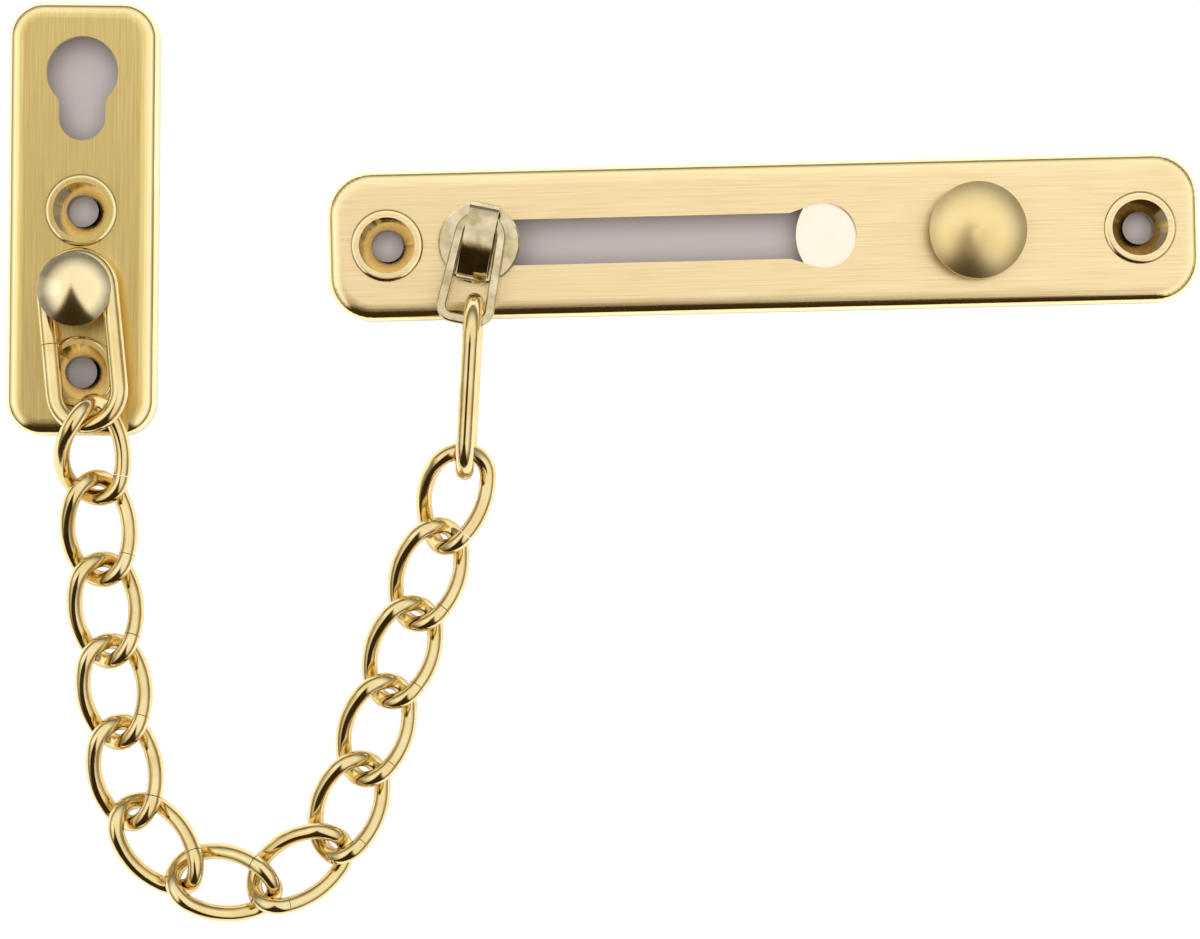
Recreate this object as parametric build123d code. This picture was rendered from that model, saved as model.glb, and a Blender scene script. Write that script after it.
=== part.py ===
"""Door chain with a slide plate, a press-to-release gate and an anchor plate, laid out flat.

The slide plate's back lies on z = 0 with its screw row along X, and +Z points away from the door.
The chain leaves the slider, lies in a U on the same surface and ends at the anchor plate.
Lengths are millimetres and angles are degrees.
"""

import os
from math import asin, atan2, cos, degrees, hypot, radians, sin, tan

from build123d import *

# Pressed plates
sheet = 1.0
plate_height = 4.5
plate_width = 21.8
rim_radius = 1.5
slope_run = 1.8
slope_drop = 0.55
slope_blend_radius = 4.0
slide_plate_length = 127.4
slide_corner_radius = 6.4
anchor_plate_length = 63.4
anchor_corner_radius = 5.2

# Screw holes, dimpled for countersunk heads, with a raised lip and a collar down to the door
screw_hole_diameter = 4.7
countersink_diameter = 8.2
dimple_wall = 0.9
lip_width = 1.2
lip_height = 0.3
slide_screw_spacing = 110.0
anchor_screw_spacing = 23.6

# Slot of the slide plate, with the round hole where the slider is let out
slot_width = 6.7
slot_start = -41.5
release_hole_x = 8.9
release_hole_diameter = 9.5
funnel_length = 5.0

# Slider: stepped rivet, disc with a bridge, and the bail that hangs on the bridge
running_clearance = 0.2
slider_neck_diameter = 6.0
slider_head_diameter = 8.2
slider_head_thickness = 1.0
slider_tenon_diameter = 3.2
slider_peen_diameter = 4.2
slider_peen_height = 0.4
slider_disc_diameter = 11.9
slider_disc_thickness = 1.1
slider_disc_chamfer = 0.25
bridge_width = 4.3
bridge_thickness = 0.9
bridge_height = 5.0
bridge_bend_radius = 1.4
bridge_crown_radius = 9.5
bail_length = 16.8
bail_top_width = 7.4
bail_bottom_width = 8.5
bail_bottom_corner = 2.5
bail_strip_width = 1.4
bail_strip_height = 1.3
bail_edge_radius = 0.3
bail_heading = 257.5
bail_rise = 5.2
bail_play = 0.3
bail_bar_lift = 1.0

# Gate: a leaf spring behind the release hole, worked by the push button
gate_edge_x = 4.8
gate_end_radius = 7.6
gate_leaf_width = 10.0
gate_thickness = 0.7
gate_root_x = 46.7
gate_clearance = 0.1
button_x = 31.0
button_diameter = 14.1
button_rim_height = 1.0
button_dome_height = 2.2
button_gap = 2.6
button_stem_diameter = 6.0
button_tenon_diameter = 3.0
button_peen_diameter = 4.8
button_peen_height = 0.5
button_hole_clearance = 0.5

# Long links at both ends of the chain
long_wire = 2.6
long_link_length = 27.4
long_link_width = 12.6
seam_gap = 0.12
slider_link_heading = 265.0
slider_link_dip = 10.0
slider_link_shift = 1.6
slider_link_lead = 2.2
slider_link_lift = 1.5

# Twisted curb links between them
link_wire = 2.4
link_length = 17.4
link_side_reach = 5.2
link_end_reach = 3.7
link_end_tilt = 48.0
link_end_fullness = 0.98
link_seam_run = 0.4
link_slack = 0.6
floor_clearance = 0.05
first_link_heading = 250.0
link_turns = (0, 0, 0, 2, 37, 41, 42, 30.6, 2, 1.5, 1.5, 3)
link_rolls = (10, 0, 0, 0, 0, 0, 0, 0, 0, 0, 0, 9, 22)
first_joint_lift = 0.4
last_joint_lift = 1.3
links_before_bend = 6

# Anchor: rivet that holds the last long link on its plate, and the keyhole where the slider is parked
anchor_link_heading = 95.0
anchor_link_rise = 6.5
anchor_link_roll = -12.5
anchor_link_clearance = 0.2
anchor_joint_lift = 0.3
anchor_plate_turn = -1.9
rivet_below_centre = 10.6
rivet_neck_diameter = 6.4
rivet_head_diameter = 10.7
rivet_dome_height = 2.0
rivet_rim_height = 0.4
rivet_shank_diameter = 4.0
rivet_tail_diameter = 6.0
rivet_tail_height = 0.6
fit_clearance = 0.05
keyhole_round_diameter = 10.5
keyhole_round_y = 21.4
keyhole_lobe_diameter = 6.8
keyhole_lobe_y = 14.8
keyhole_blend_radius = 2.0


def direction(heading, rise=0.0):
    """Unit vector at a heading in plan, tilted up by rise."""
    flat = cos(radians(rise))
    return Vector(flat * cos(radians(heading)), flat * sin(radians(heading)), sin(radians(rise)))


def upright_plane(origin, heading, rise=0.0):
    """Plane whose x follows the heading and rise, with its z as near upright as that allows."""
    return Plane(origin, x_dir=direction(heading, rise), z_dir=direction(heading, rise + 90))


def tray_block(length, width, height, corner_radius, edge_radius):
    """Rounded block whose top slopes down a little before its rounded edge."""
    wall = extrude(RectangleRounded(length, width, corner_radius), height - slope_drop)
    taper = degrees(atan2(slope_run, slope_drop))
    block = wall + extrude(wall.faces().sort_by(Axis.Z)[-1], slope_drop, taper=taper)
    block = fillet(block.faces().sort_by(Axis.Z)[-1].edges(), slope_blend_radius)
    foot, corners, crease, *blends = block.edges().group_by(Axis.Z)
    return fillet(crease, edge_radius)


def pressed_tray(length, corner_radius):
    """Sheet pressed into a shallow tray, open at the back."""
    outside = tray_block(length, plate_width, plate_height, corner_radius, rim_radius)
    inside = tray_block(
        length - 2 * sheet,
        plate_width - 2 * sheet,
        plate_height - sheet,
        corner_radius - sheet,
        rim_radius - sheet,
    )
    return outside - inside


def add_screw_dimple(plate, x, y):
    """Presses a countersunk screw hole with a rounded lip and a collar into a plate."""
    mouth = countersink_diameter / 2
    hole = screw_hole_diameter / 2
    top = plate_height + lip_height
    sink_bottom = top - (mouth - hole)
    lip_start = plate_height - sheet / 2
    lip_radius = (lip_width**2 / 4 + lip_height**2) / (2 * lip_height)
    lip = make_face(
        Curve()
        + [
            Polyline((mouth + lip_width, plate_height), (mouth + lip_width, lip_start), (hole, lip_start)),
            Polyline((hole, lip_start), (hole, top), (mouth + lip_width / 2, top)),
            RadiusArc((mouth + lip_width / 2, top), (mouth + lip_width, plate_height), lip_radius),
        ]
    )
    wall = make_face(
        Polyline(
            (hole, 0),
            (hole + dimple_wall, 0),
            (hole + dimple_wall, sink_bottom - dimple_wall / 2),
            (mouth + dimple_wall, lip_start),
            (hole, lip_start),
            close=True,
        )
    )
    bore = make_face(
        Polyline(
            (0, 0),
            (hole, 0),
            (hole, sink_bottom),
            (mouth, top),
            (mouth, 2 * top),
            (0, 2 * top),
            close=True,
        )
    )
    dimple = revolve(Plane.XZ * lip, Axis.Z) + revolve(Plane.XZ * wall, Axis.Z)
    return plate + Pos(x, y) * dimple - Pos(x, y) * revolve(Plane.XZ * bore, Axis.Z)


def wire_along(path, diameter):
    """Round wire bent along a path."""
    start = Plane(path @ 0, z_dir=path % 0)
    return sweep(start * Circle(diameter / 2), path=path)


def long_link():
    """Straight-sided link along X, its wire ends butted on one side."""
    bend = (long_link_width - long_wire) / 2
    reach = (long_link_length - long_link_width) / 2
    path = Curve() + [
        Line((-seam_gap / 2, bend), (-reach, bend)),
        CenterArc((-reach, 0), bend, 90, 180),
        Line((-reach, -bend), (reach, -bend)),
        CenterArc((reach, 0), bend, -90, 180),
        Line((reach, bend), (seam_gap / 2, bend)),
    ]
    return wire_along(path.wire(), long_wire)


def twisted_link():
    """Curb link along X, its two ends twisted opposite ways and its wire ends butted on one side."""
    end_x = (link_length - link_wire) / 2
    end_y = link_end_reach * cos(radians(link_end_tilt))
    end_z = link_end_reach * sin(radians(link_end_tilt))
    front_left, front_right = Vector(end_x, end_y, end_z), Vector(end_x, -end_y, -end_z)
    back_left, back_right = Vector(-end_x, end_y, -end_z), Vector(-end_x, -end_y, end_z)
    left, right = Vector(0, link_side_reach, 0), Vector(0, -link_side_reach, 0)
    side = (front_left - left).length
    side_turn = radians((left - back_left).get_angle(front_left - left))
    end_turn = radians((front_left - left).get_angle(front_right - front_left))
    # The end arcs meet at the tips, and the side arcs take what is left beside the seam's straight run
    end_radius = link_end_fullness * link_end_reach / tan(end_turn / 2)
    side_radius = (side - link_end_reach - link_seam_run) / tan(side_turn / 2)
    toward_front = (front_left - left).normalized()
    seam = left + toward_front * (side - link_end_reach - link_seam_run / 2)
    path = FilletPolyline(
        seam + toward_front * (seam_gap / 2),
        front_left,
        front_right,
        right,
        back_right,
        back_left,
        left,
        seam - toward_front * (seam_gap / 2),
        radius=[end_radius, end_radius, side_radius, end_radius, end_radius, side_radius],
    )
    return wire_along(path, link_wire)


# Levels that several pieces share
plate_back = plate_height - sheet
disc_bottom = plate_height + running_clearance
disc_top = disc_bottom + slider_disc_thickness
long_bend = (long_link_width - long_wire) / 2
long_run = long_link_length - long_link_width
long_grip = long_bend - long_wire / 2

# Slide plate
slide_plate = pressed_tray(slide_plate_length, slide_corner_radius)
for end in (-1, 1):
    slide_plate = add_screw_dimple(slide_plate, end * slide_screw_spacing / 2, 0)
slot = Pos((slot_start + release_hole_x) / 2) * SlotCenterToCenter(release_hole_x - slot_start, slot_width)
release_hole = Pos(release_hole_x) * Circle(release_hole_diameter / 2)
funnel_start = release_hole_x - funnel_length
funnel_edge = Line((funnel_start, -slot_width / 2), (funnel_start, slot_width / 2))
funnel = make_hull([*release_hole.edges(), *funnel_edge.edges()])
slide_plate -= extrude(slot + release_hole + funnel, plate_height)
button_hole_radius = button_stem_diameter / 2 + button_hole_clearance
slide_plate -= Pos(button_x, 0, plate_height) * Cylinder(button_hole_radius, 2 * sheet + plate_height / 2)

# Gate spring, fixed to the back of the plate at its root
gate_top = plate_back - gate_clearance
gate_centre_x = gate_edge_x + gate_end_radius
gate_outline = Pos(gate_centre_x) * Circle(gate_end_radius)
leaf_length = gate_root_x - gate_centre_x
gate_outline += Pos(gate_centre_x + leaf_length / 2) * Rectangle(leaf_length, gate_leaf_width)
gate_outline -= Pos(button_x) * Circle(button_tenon_diameter / 2)
gate_spring = Pos(0, 0, gate_top - gate_thickness) * extrude(gate_outline, gate_thickness)

# Push button, its stem riveted to the leaf
button_bottom = plate_height + button_gap
button_rim = button_bottom + button_rim_height
button_top = button_rim + button_dome_height
button_radius = button_diameter / 2
peen_bottom = gate_top - gate_thickness - button_peen_height
button_profile = make_face(
    Curve()
    + [
        Polyline(
            (0, peen_bottom),
            (button_peen_diameter / 2, peen_bottom),
            (button_peen_diameter / 2, peen_bottom + button_peen_height),
            (button_tenon_diameter / 2, peen_bottom + button_peen_height),
            (button_tenon_diameter / 2, gate_top),
            (button_stem_diameter / 2, gate_top),
            (button_stem_diameter / 2, button_bottom),
            (button_radius, button_bottom),
            (button_radius, button_rim),
        ),
        TangentArc((0, button_top), (button_radius, button_rim), tangent=(1, 0)),
        Line((0, button_top), (0, peen_bottom)),
    ]
)
push_button = Pos(button_x) * revolve(Plane.XZ * button_profile, Axis.Z)

# Slider rivet, shown at the closed end of the slot
head_top = plate_back - running_clearance
head_bottom = head_top - slider_head_thickness
slider_profile = make_face(
    Polyline(
        (0, head_bottom),
        (slider_head_diameter / 2, head_bottom),
        (slider_head_diameter / 2, head_top),
        (slider_neck_diameter / 2, head_top),
        (slider_neck_diameter / 2, disc_bottom),
        (slider_tenon_diameter / 2, disc_bottom),
        (slider_tenon_diameter / 2, disc_top + fit_clearance),
        (slider_peen_diameter / 2, disc_top + fit_clearance),
        (slider_tenon_diameter / 2, disc_top + slider_peen_height),
        (0, disc_top + slider_peen_height),
        close=True,
    )
)
slider_rivet = Pos(slot_start) * revolve(Plane.XZ * slider_profile, Axis.Z)

# Slider disc with its bridge, in a frame along the bail's heading
slider_frame = Pos(slot_start) * Rot(0, 0, bail_heading)
disc_hole = slider_tenon_diameter / 2 + fit_clearance
disc = extrude(Circle(slider_disc_diameter / 2) - Circle(disc_hole), slider_disc_thickness)
disc = Pos(0, 0, disc_bottom) * disc
disc_rim = disc.edges().group_by(Axis.Z)[-1].sort_by(SortBy.RADIUS)[-1]
disc = chamfer(disc_rim, slider_disc_chamfer)
bridge_span = slider_disc_diameter - bridge_thickness / 2
bridge_inside = bridge_span - 2 * bridge_thickness
bridge_top = disc_top + bridge_height
arch = Pos(0, disc_top) * Rectangle(bridge_span, 2 * bridge_height)
arch &= Pos(0, bridge_top - bridge_crown_radius) * Circle(bridge_crown_radius)
arch_shoulders = arch.vertices().filter_by_position(Axis.Y, disc_top, bridge_top)
arch = fillet(arch_shoulders, bridge_bend_radius + bridge_thickness)
arch -= offset(arch, -bridge_thickness)
arch -= Pos(0, disc_top - bridge_height) * Rectangle(2 * bridge_span, 2 * bridge_height)
bridge = extrude(Plane.XZ * arch, bridge_width / 2, both=True)
slider_disc = slider_frame * (disc + bridge)

# Bail: a flat tapered ring, its top bar held under the bridge
bail_back = bridge_inside / 2 - bail_play
bail_bar_x = -bail_back + bail_strip_width / 2
bail_bar_z = disc_top + bail_bar_lift
bail_frame = slider_frame * Pos(bail_bar_x, 0, bail_bar_z) * Rot(0, -bail_rise, 0)
top_radius = bail_top_width / 2
top_x = top_radius - bail_strip_width / 2
bottom_x = bail_length - bail_bottom_corner - bail_strip_width / 2
bottom_y = bail_bottom_width / 2 - bail_bottom_corner
bail_rounds = Pos(top_x) * Circle(top_radius)
bail_rounds += [Pos(bottom_x, side * bottom_y) * Circle(bail_bottom_corner) for side in (-1, 1)]
bail_outline = make_hull(bail_rounds.edges())
bail_window = offset(bail_outline, -bail_strip_width)
bail = extrude(bail_outline - bail_window, bail_strip_height / 2, both=True)
bail = fillet(bail.edges(), bail_edge_radius)
bail = bail_frame * bail

# Long link on the bail, standing on edge
bail_grip_x = bail_length - bail_strip_width
bail_grip = Vector(*(bail_frame * Pos(bail_grip_x, slider_link_shift, 0)).position)
slider_link_near = bail_grip + direction(slider_link_heading) * slider_link_lead
slider_link_near += Vector(0, 0, slider_link_lift)
slider_link_along = direction(slider_link_heading, -slider_link_dip)
slider_link_plane = Plane(
    slider_link_near + slider_link_along * (long_run / 2),
    x_dir=slider_link_along,
    z_dir=direction(slider_link_heading + 90),
)
slider_link = slider_link_plane * long_link()

# Curb links, each hung on the one before
link_pitch = link_length - 2 * link_wire - link_slack
link_template = twisted_link()
chain_height = -link_template.bounding_box().min.Z + floor_clearance
anchor_slope = hypot(sin(radians(anchor_link_rise)), sin(radians(anchor_link_roll)))
anchor_neck_z = plate_height + anchor_link_clearance + long_wire / 2 + long_bend * anchor_slope
anchor_grip = long_run + long_grip
anchor_joint_z = anchor_neck_z + anchor_grip * sin(radians(anchor_link_rise)) + anchor_joint_lift
chain_joints = [slider_link_near + slider_link_along * (long_run + long_grip - link_slack / 2)]
link_headings = [first_link_heading]
for turn in link_turns:
    link_headings.append(link_headings[-1] - turn)
joint_heights = [chain_height] * len(link_headings)
joint_heights[0] += first_joint_lift
joint_heights[-2] += last_joint_lift
joint_heights[-1] = anchor_joint_z
chain_links = []
for number, heading in enumerate(link_headings):
    rise = degrees(asin((joint_heights[number] - chain_joints[-1].Z) / link_pitch))
    along = direction(heading, rise)
    link_plane = upright_plane(chain_joints[-1] + along * (link_pitch / 2), heading, rise)
    seam_side = 0 if number < links_before_bend else 180
    chain_links.append(link_plane * Rot(link_rolls[number], 0, 0) * Rot(0, 0, seam_side) * link_template)
    chain_joints.append(chain_joints[-1] + along * link_pitch)

# Long link on the anchor plate
anchor_along = direction(anchor_link_heading, -anchor_link_rise)
anchor_link_end = chain_joints[-1] - Vector(0, 0, anchor_joint_lift)
rivet_axis = anchor_link_end + anchor_along * (anchor_grip - link_slack / 2)
anchor_link_middle = rivet_axis - anchor_along * (long_run / 2)
anchor_link_plane = upright_plane(anchor_link_middle, anchor_link_heading, -anchor_link_rise)
anchor_link = anchor_link_plane * Rot(anchor_link_roll, 0, 0) * long_link()

# Anchor plate, placed by its rivet
anchor_frame = Pos(rivet_axis.X, rivet_axis.Y) * Rot(0, 0, anchor_plate_turn) * Pos(0, rivet_below_centre)
anchor_plate = pressed_tray(anchor_plate_length, anchor_corner_radius)
anchor_plate = Rot(0, 0, 90) * anchor_plate
for end in (-1, 1):
    anchor_plate = add_screw_dimple(anchor_plate, 0, end * anchor_screw_spacing / 2 - rivet_below_centre)
keyhole = Pos(0, keyhole_round_y) * Circle(keyhole_round_diameter / 2)
keyhole += Pos(0, keyhole_lobe_y) * Circle(keyhole_lobe_diameter / 2)
keyhole += Pos(0, (keyhole_round_y + keyhole_lobe_y) / 2) * Rectangle(
    keyhole_lobe_diameter, keyhole_round_y - keyhole_lobe_y
)
keyhole = fillet(keyhole.vertices().group_by(Axis.Y)[-1], keyhole_blend_radius)
anchor_plate -= extrude(keyhole, plate_height)
anchor_plate -= Pos(0, -rivet_below_centre, plate_height / 2) * Cylinder(
    rivet_shank_diameter / 2 + fit_clearance, 2 * plate_height
)
anchor_plate = anchor_frame * anchor_plate

# Anchor rivet with a domed head above the link
head_radius = rivet_head_diameter / 2
rivet_head_bottom = anchor_neck_z + head_radius * anchor_slope + long_wire / 2 + anchor_link_clearance
rivet_rim = rivet_head_bottom + rivet_rim_height
rivet_top = rivet_rim + rivet_dome_height
tail_bottom = plate_back - rivet_tail_height
rivet_profile = make_face(
    Curve()
    + [
        Polyline(
            (0, tail_bottom),
            (rivet_tail_diameter / 2, tail_bottom),
            (rivet_tail_diameter / 2, plate_back),
            (rivet_shank_diameter / 2, plate_back),
            (rivet_shank_diameter / 2, plate_height),
            (rivet_neck_diameter / 2, plate_height),
            (rivet_neck_diameter / 2, rivet_head_bottom),
            (head_radius, rivet_head_bottom),
            (head_radius, rivet_rim),
        ),
        TangentArc((0, rivet_top), (head_radius, rivet_rim), tangent=(1, 0)),
        Line((0, rivet_top), (0, tail_bottom)),
    ]
)
anchor_rivet = Pos(rivet_axis.X, rivet_axis.Y) * revolve(Plane.XZ * rivet_profile, Axis.Z)

# One file for each piece
parts = {
    "slide_plate": slide_plate,
    "gate_spring": gate_spring,
    "push_button": push_button,
    "slider_rivet": slider_rivet,
    "slider_disc": slider_disc,
    "bail": bail,
    "slider_link": slider_link,
    "anchor_link": anchor_link,
    "anchor_plate": anchor_plate,
    "anchor_rivet": anchor_rivet,
}
for number, link in enumerate(chain_links, start=1):
    parts[f"chain_link_{number:02d}"] = link
os.makedirs("parts", exist_ok=True)
for name, shape in parts.items():
    export_step(shape, f"parts/{name}.step")
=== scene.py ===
"""Looks, light and camera for a brass door chain lying on a white table.

Lengths are metres, in the frame of the solid model: X along the slide plate, Z up from the table.
"""

from math import cos, radians, sin

import bpy
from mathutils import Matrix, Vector

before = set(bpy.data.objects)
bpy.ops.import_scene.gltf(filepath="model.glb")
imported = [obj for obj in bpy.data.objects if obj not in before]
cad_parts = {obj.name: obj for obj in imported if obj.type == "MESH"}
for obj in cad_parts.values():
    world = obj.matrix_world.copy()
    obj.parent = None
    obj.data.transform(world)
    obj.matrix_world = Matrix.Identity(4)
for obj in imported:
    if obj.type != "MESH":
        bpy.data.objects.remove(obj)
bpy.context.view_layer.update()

MM = 0.001
WHITE = (1, 1, 1, 1)

# Colours of the metals, a light and a dark tone of each
SLIDE_BRASS = ((0.99, 0.81, 0.49, 1), (0.86, 0.66, 0.33, 1))
ANCHOR_BRASS = ((0.90, 0.71, 0.30, 1), (0.75, 0.56, 0.19, 1))
WIRE_BRASS = ((0.86, 0.70, 0.37, 1), (0.76, 0.58, 0.25, 1))
BUTTON_BRASS = ((0.93, 0.74, 0.38, 1), (0.85, 0.64, 0.28, 1))
PALE_BRASS = ((0.95, 0.82, 0.53, 1), (0.86, 0.71, 0.41, 1))
GATE_PLATING = ((0.98, 0.88, 0.74, 1), (0.94, 0.83, 0.66, 1))
NICKEL = ((0.76, 0.65, 0.43, 1), (0.46, 0.36, 0.19, 1))

# Plates: the tone of their polished edges, and the painted shade laid into the insides of their holes
EDGE_BRASS = (0.97, 0.78, 0.42, 1)
RECESS_PAINTED_SHADE = (0.12, 0.06, 0.006, 1)

# Plates: streaks to a metre along and across the brushing, their relief and stretched shine, and their lie
BRUSH_STREAKS = (90, 4000, 4000)
BRUSH_RELIEF = 0.02 * MM
BRUSH_STRENGTH = 0.3
BRUSH_SHINE = 0.6
SLIDE_BRUSH_TURN = 0.0
ANCHOR_BRUSH_TURN = radians(88.1)

# Plates: how squarely the flat faces up, how far the painted shade inside their holes reaches, and the
# light that counts as open
FLAT_FACING = (0.96, 0.99)
FLAT_ROUGHNESS = 0.32
EDGE_ROUGHNESS = 0.12
RECESS_REACH = 8 * MM
RECESS_SAMPLES = 4
OPEN_SHARE = (0.5, 0.8)

# Polished and turned metal: clouds of tone and dents, so many to a metre, and how strong the dents are
WIRE_CLOUDS = 260
NICKEL_CLOUDS = 450
DOME_CLOUDS = 200
DENTS = 600
DENT_DEPTH = 0.05 * MM
LIGHT_WEAR = 0.1
NICKEL_WEAR = 0.4

# Polished and turned metal: how rough each one is, and how far a lathe's grooves stretch the shine
WIRE_ROUGHNESS = 0.10
GATE_ROUGHNESS = 0.16
NICKEL_ROUGHNESS = 0.08
BUTTON_ROUGHNESS = 0.30
BUTTON_SHINE = 0.6
RIVET_ROUGHNESS = 0.14
RIVET_SHINE = 0.3
ROUGHNESS_SPREAD = 0.05

# Noises: their detail, and the middle range that is stretched over two tones
NOISE_DETAIL = 4.0
DENT_DETAIL = 2.0
NOISE_MIDDLE = (0.3, 0.7)

# Photograph: its size, its scale, and where the middle of the slide plate lies in it
PHOTO_WIDTH = 1200
PHOTO_HEIGHT = 939
PIXELS_PER_MM = 6.85
PLATE_MIDDLE_PX = (763.5, 236.5)
PLATE_TURN = radians(1.37)
PLATE_TOP = 4.5 * MM
CAMERA_HEIGHT = 475 * MM
CAMERA_NEAR = 10 * MM
SENSOR_WIDTH = 36.0

# Table: its white, and the painted shade, a grey that lies this far in from a plate's edges and this near
# its back
TABLE_SIZE = 4.0
TABLE_DROP = 0.05 * MM
TABLE_WHITE = (0.96, 0.96, 0.96, 1)
TABLE_SHADE = (0.43, 0.38, 0.36, 1)
TABLE_ROUGHNESS = 0.8
TABLE_SHINE = 0.1
SHADE_MARGIN = 3 * MM
SHADE_REACH = 0.5 * MM

# Soft lights: the point that they face, their places, sizes and watts
LIT_POINT = (-0.025, -0.034, 0)
LEFT_BOX_PLACE = (-0.95, 0.10, 0.45)
LEFT_BOX_POWER = 0.35
RIGHT_BOX_PLACE = (0.90, 0.10, 0.45)
RIGHT_BOX_POWER = 0.15
SIDE_BOX_SIZE = (0.5, 1.2)
FILL_PLACE = (-0.02, 0.0, 1.2)
FILL_POWER = 14
FILL_SIZE = (1.5, 1.5)

# Room: how bright its parts are, and the heights between which the walls turn into the ceiling
CEILING_GLOW = 1.12
WALL_GLOW = 0.25
WEDGE_GLOW = 0.04
TABLE_GLOW = 1.1
CEILING_RISE = (0.3, 0.7)

# Room: the place, opening, reach and soft edge of its dark wedge, and the warm tone of that edge
WEDGE_LEFT = 0.17
WEDGE_SLOPE = 2.2
WEDGE_SPREAD = 0.5
WEDGE_EDGE = 0.3
WEDGE_TONE = (1.0, 0.63, 0.20, 1)
WEDGE_WARMTH = (0.3, 0.7)


def set_inputs(tree, node, inputs):
    """Gives a node's inputs plain values or the outputs of other nodes."""
    for name, value in inputs.items():
        if isinstance(value, bpy.types.NodeSocket):
            tree.links.new(value, node.inputs[name])
        else:
            node.inputs[name].default_value = value


def add_node(tree, kind, inputs=None, **settings):
    """Adds a shader node with its settings and inputs."""
    node = tree.nodes.new(kind)
    for name, value in settings.items():
        setattr(node, name, value)
    set_inputs(tree, node, inputs or {})
    return node


def calculate(tree, operation, *values):
    """Result of an operation on numbers and the outputs of other nodes."""
    node = add_node(tree, "ShaderNodeMath", dict(enumerate(values)), operation=operation)
    return node.outputs["Value"]


def calculate_vector(tree, operation, *values):
    """Result of an operation on points and the outputs of other nodes."""
    node = add_node(tree, "ShaderNodeVectorMath", dict(enumerate(values)), operation=operation)
    return node.outputs["Vector"]


def rescale(tree, value, source, target=(0, 1)):
    """Maps one range of a value onto another and stops at its ends."""
    ends = {"From Min": source[0], "From Max": source[1], "To Min": target[0], "To Max": target[1]}
    node = add_node(tree, "ShaderNodeMapRange", {"Value": value, **ends})
    return node.outputs["Result"]


def blend(tree, kind, first, second, share):
    """Goes from a first colour or number to a second one by a share."""
    node = add_node(tree, "ShaderNodeMix", {"A": first, "B": second, "Factor": share}, data_type=kind)
    return node.outputs["Result"]


def metal(name, anisotropy=0.0):
    """New metal material with its node tree and shader."""
    material = bpy.data.materials.new(name)
    material.use_nodes = True
    tree = material.node_tree
    shader = tree.nodes["Principled BSDF"]
    set_inputs(tree, shader, {"Metallic": 1.0, "Anisotropic": anisotropy})
    return material, tree, shader


def grain(tree, scale, turn=0.0, detail=NOISE_DETAIL):
    """Noise in the piece's own coordinates, with a scale for each axis of a frame turned about Z."""
    place = add_node(tree, "ShaderNodeTexCoord").outputs["Object"]
    turned = add_node(tree, "ShaderNodeMapping", {"Vector": place, "Rotation": (0, 0, -turn)})
    stretched = add_node(tree, "ShaderNodeMapping", {"Vector": turned.outputs["Vector"], "Scale": scale})
    noise = add_node(tree, "ShaderNodeTexNoise", {"Scale": 1.0, "Detail": detail})
    set_inputs(tree, noise, {"Vector": stretched.outputs["Vector"]})
    return noise.outputs["Fac"]


def even_grain(tree, count, detail=NOISE_DETAIL):
    """Noise of so many spots to a metre along every axis."""
    return grain(tree, (count, count, count), detail=detail)


def mottle(tree, noise, tones):
    """Colour between the light and the dark tone of a metal, by a noise."""
    light, dark = tones
    return blend(tree, "RGBA", dark, light, rescale(tree, noise, NOISE_MIDDLE))


def vary_roughness(tree, noise, roughness):
    """Roughness that a noise raises a little in places."""
    return rescale(tree, noise, NOISE_MIDDLE, (roughness, roughness + ROUGHNESS_SPREAD))


def relief(tree, height, strength, distance):
    """Normal of a fine relief."""
    bump = add_node(tree, "ShaderNodeBump", {"Height": height, "Strength": strength, "Distance": distance})
    return bump.outputs["Normal"]


def flatness(tree):
    """One on a piece's flat top and zero on its slopes."""
    facing = add_node(tree, "ShaderNodeTexCoord").outputs["Normal"]
    parts = add_node(tree, "ShaderNodeSeparateXYZ", {"Vector": facing}).outputs
    return rescale(tree, parts["Z"], FLAT_FACING)


def outside_painted_shade(tree):
    """One in the open and zero inside the piece's own holes, where the colour is darkened into painted
    shade.
    """
    reach = {"Distance": RECESS_REACH}
    hollow = add_node(tree, "ShaderNodeAmbientOcclusion", reach, only_local=True, samples=RECESS_SAMPLES)
    return rescale(tree, hollow.outputs["AO"], OPEN_SHARE)


def lengthwise(tree, turn):
    """Line in a piece's own plane that makes this turn with its X."""
    line = {"Vector": (cos(turn), sin(turn), 0)}
    lie = add_node(tree, "ShaderNodeVectorTransform", line,
                   vector_type="VECTOR", convert_from="OBJECT", convert_to="WORLD")
    return lie.outputs["Vector"]


def brushed_plate(name, tones, turn):
    """Brass sheet, its flat top brushed along the line with this turn, its edges polished, and painted
    shade darkening the insides of its holes.
    """
    material, tree, shader = metal(name, BRUSH_SHINE)
    streaks = grain(tree, BRUSH_STREAKS, turn)
    flat = flatness(tree)
    sheet_colour = blend(tree, "RGBA", EDGE_BRASS, mottle(tree, streaks, tones), flat)
    set_inputs(tree, shader, {
        # Painted shade: an occlusion mask darkens the colour inside the holes to the dark recess tone
        "Base Color": blend(tree, "RGBA", RECESS_PAINTED_SHADE, sheet_colour, outside_painted_shade(tree)),
        "Roughness": rescale(tree, flat, (0, 1), (EDGE_ROUGHNESS, FLAT_ROUGHNESS)),
        "Normal": relief(tree, streaks, BRUSH_STRENGTH, BRUSH_RELIEF),
        "Tangent": lengthwise(tree, turn),
    })
    return material


def polished(name, tones, roughness, count=WIRE_CLOUDS, wear=LIGHT_WEAR):
    """Polished metal with clouds of tone, so many to a metre, and shallow dents."""
    material, tree, shader = metal(name)
    clouds = even_grain(tree, count)
    dents = even_grain(tree, DENTS, DENT_DETAIL)
    set_inputs(tree, shader, {
        "Base Color": mottle(tree, clouds, tones),
        "Roughness": vary_roughness(tree, clouds, roughness),
        "Normal": relief(tree, dents, wear, DENT_DEPTH),
    })
    return material


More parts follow.
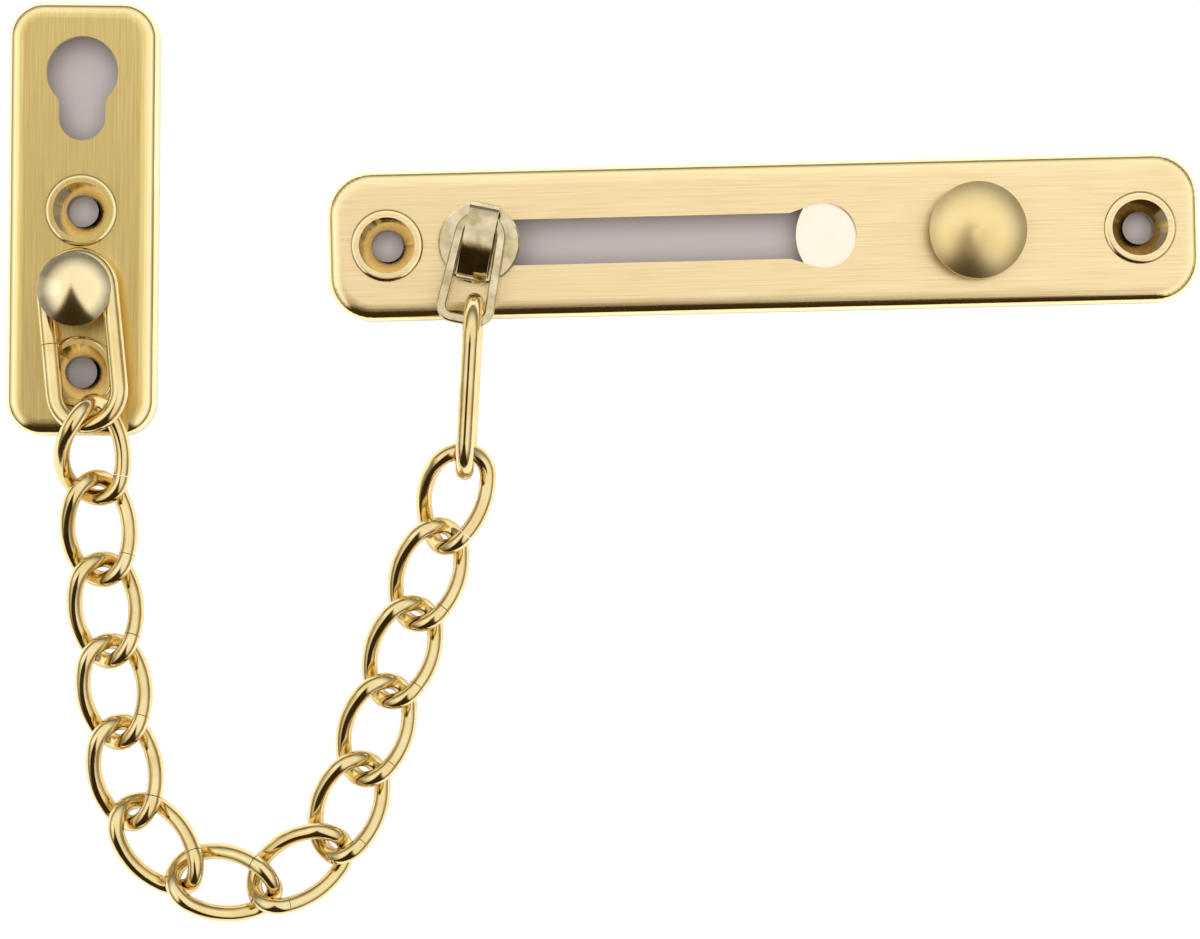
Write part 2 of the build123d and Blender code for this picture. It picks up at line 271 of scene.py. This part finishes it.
def turned_dome(name, tones, roughness, anisotropy):
    """Metal turned on a lathe: its grooves run round the piece's own upright axis."""
    material, tree, shader = metal(name, anisotropy)
    clouds = even_grain(tree, DOME_CLOUDS)
    grooves = add_node(tree, "ShaderNodeTangent", direction_type="RADIAL", axis="Z")
    set_inputs(tree, shader, {
        "Base Color": mottle(tree, clouds, tones),
        "Roughness": vary_roughness(tree, clouds, roughness),
        "Tangent": grooves.outputs["Tangent"],
    })
    return material


def dress(material, *names):
    """Gives a material to every slot of the named pieces."""
    for name in names:
        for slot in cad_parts[name].material_slots:
            slot.material = material


def under_plate(tree, plate):
    """One where a plate lies on the table and zero beside it: the mask of the painted shade under the
    plate.
    """
    low = Vector(plate.bound_box[0])
    high = Vector(plate.bound_box[6])
    middle = (low + high) / 2
    limits = (high - low) / 2 - Vector((SHADE_MARGIN, SHADE_MARGIN, -SHADE_REACH))
    place = add_node(tree, "ShaderNodeTexCoord", object=plate).outputs["Object"]
    offset = calculate_vector(tree, "SUBTRACT", place, middle)
    reach = calculate_vector(tree, "ABSOLUTE", offset)
    past = calculate_vector(tree, "SUBTRACT", reach, limits)
    parts = add_node(tree, "ShaderNodeSeparateXYZ", {"Vector": past}).outputs
    across = calculate(tree, "MAXIMUM", parts["X"], parts["Y"])
    furthest = calculate(tree, "MAXIMUM", across, parts["Z"])
    return calculate(tree, "LESS_THAN", furthest, 0)


def add_table(name, drop, colour):
    """Wide matt surface below the part: its object, node tree and shader."""
    bpy.ops.mesh.primitive_plane_add(size=TABLE_SIZE, location=(0, 0, -drop))
    table = bpy.context.object
    table.name = name
    material = bpy.data.materials.new(name)
    material.use_nodes = True
    tree = material.node_tree
    shader = tree.nodes["Principled BSDF"]
    matt = {"Roughness": TABLE_ROUGHNESS, "Specular IOR Level": TABLE_SHINE}
    set_inputs(tree, shader, {"Base Color": colour, **matt})
    table.data.materials.append(material)
    return table, tree, shader


def add_tables():
    """White table that lights the metal, and over it a painted shade, a grey sheet under each plate that
    shows through the plate's openings.
    """
    white, _, _ = add_table("white_table", 2 * TABLE_DROP, TABLE_WHITE)
    white.visible_camera = False
    _, tree, shader = add_table("shaded_table", TABLE_DROP, TABLE_SHADE)
    masks = [under_plate(tree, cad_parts[name]) for name in ("slide_plate", "anchor_plate")]
    covered = calculate(tree, "MAXIMUM", *masks)
    # Painted shade: grey under the plates, see-through everywhere else
    clear = add_node(tree, "ShaderNodeBsdfTransparent")
    surfaces = {1: clear.outputs["BSDF"], 2: shader.outputs["BSDF"]}
    mix = add_node(tree, "ShaderNodeMixShader", {"Fac": covered, **surfaces})
    set_inputs(tree, tree.nodes["Material Output"], {"Surface": mix.outputs["Shader"]})


def add_softbox(name, place, size, power, mirrored=True):
    """Soft rectangular light turned toward the part, mirrored in the metal or not."""
    light = bpy.data.lights.new(name, "AREA")
    light.shape = "RECTANGLE"
    light.size, light.size_y = size
    light.energy = power
    box = bpy.data.objects.new(name, light)
    box.location = place
    box.rotation_euler = (Vector(LIT_POINT) - Vector(place)).to_track_quat("-Z", "Y").to_euler()
    box.visible_camera = False
    box.visible_glossy = mirrored
    bpy.context.scene.collection.objects.link(box)


def add_room():
    """Pale tent with dimmer walls, a dark wedge that opens from overhead to the front, and white below."""
    world = bpy.data.worlds.new("room")
    world.use_nodes = True
    tree = world.node_tree
    bpy.context.scene.world = world
    place = add_node(tree, "ShaderNodeTexCoord").outputs["Generated"]
    parts = add_node(tree, "ShaderNodeSeparateXYZ", {"Vector": place}).outputs
    tent = rescale(tree, parts["Z"], CEILING_RISE, (WALL_GLOW, CEILING_GLOW))
    beside = calculate(tree, "ABSOLUTE", calculate(tree, "ADD", parts["X"], WEDGE_LEFT))
    behind = calculate(tree, "MULTIPLY_ADD", beside, WEDGE_SLOPE, parts["Y"])
    apart = calculate(tree, "MULTIPLY_ADD", parts["Z"], WEDGE_SPREAD, behind)
    outside = rescale(tree, apart, (WEDGE_SPREAD, WEDGE_SPREAD + WEDGE_EDGE))
    tone = blend(tree, "RGBA", WEDGE_TONE, WHITE, rescale(tree, outside, WEDGE_WARMTH))
    strength = blend(tree, "FLOAT", WEDGE_GLOW, tent, outside)
    below = calculate(tree, "LESS_THAN", parts["Z"], 0)
    set_inputs(tree, tree.nodes["Background"], {
        "Color": blend(tree, "RGBA", tone, WHITE, below),
        "Strength": blend(tree, "FLOAT", strength, TABLE_GLOW, below),
    })


def add_camera():
    """Camera straight above the middle of the photograph's frame."""
    right = (PHOTO_WIDTH / 2 - PLATE_MIDDLE_PX[0]) / PIXELS_PER_MM * MM
    up = (PLATE_MIDDLE_PX[1] - PHOTO_HEIGHT / 2) / PIXELS_PER_MM * MM
    data = bpy.data.cameras.new("camera")
    data.sensor_fit = "HORIZONTAL"
    data.sensor_width = SENSOR_WIDTH
    frame_width = PHOTO_WIDTH / PIXELS_PER_MM * MM
    data.lens = SENSOR_WIDTH * (CAMERA_HEIGHT - PLATE_TOP) / frame_width
    data.clip_start = CAMERA_NEAR
    camera = bpy.data.objects.new("camera", data)
    camera.location = (
        right * cos(PLATE_TURN) + up * sin(PLATE_TURN),
        up * cos(PLATE_TURN) - right * sin(PLATE_TURN),
        CAMERA_HEIGHT,
    )
    camera.rotation_euler = (0, 0, -PLATE_TURN)
    bpy.context.scene.collection.objects.link(camera)
    bpy.context.scene.camera = camera


# Metals of the pieces
dress(brushed_plate("slide_plate_brass", SLIDE_BRASS, SLIDE_BRUSH_TURN), "slide_plate")
dress(brushed_plate("anchor_plate_brass", ANCHOR_BRASS, ANCHOR_BRUSH_TURN), "anchor_plate")
links = [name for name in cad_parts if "link" in name]
dress(polished("wire_brass", WIRE_BRASS, WIRE_ROUGHNESS), *links)
dress(turned_dome("button_brass", BUTTON_BRASS, BUTTON_ROUGHNESS, BUTTON_SHINE), "push_button")
dress(turned_dome("rivet_brass", PALE_BRASS, RIVET_ROUGHNESS, RIVET_SHINE), "anchor_rivet")
dress(polished("gate_plating", GATE_PLATING, GATE_ROUGHNESS), "gate_spring")
worn_nickel = polished("nickel", NICKEL, NICKEL_ROUGHNESS, NICKEL_CLOUDS, NICKEL_WEAR)
dress(worn_nickel, "slider_rivet", "slider_disc", "bail")

# Table, soft light, room and camera
add_tables()
add_softbox("left_box", LEFT_BOX_PLACE, SIDE_BOX_SIZE, LEFT_BOX_POWER)
add_softbox("right_box", RIGHT_BOX_PLACE, SIDE_BOX_SIZE, RIGHT_BOX_POWER)
add_softbox("table_fill", FILL_PLACE, FILL_SIZE, FILL_POWER, mirrored=False)
add_room()
add_camera()
bpy.context.scene.view_settings.view_transform = "Standard"
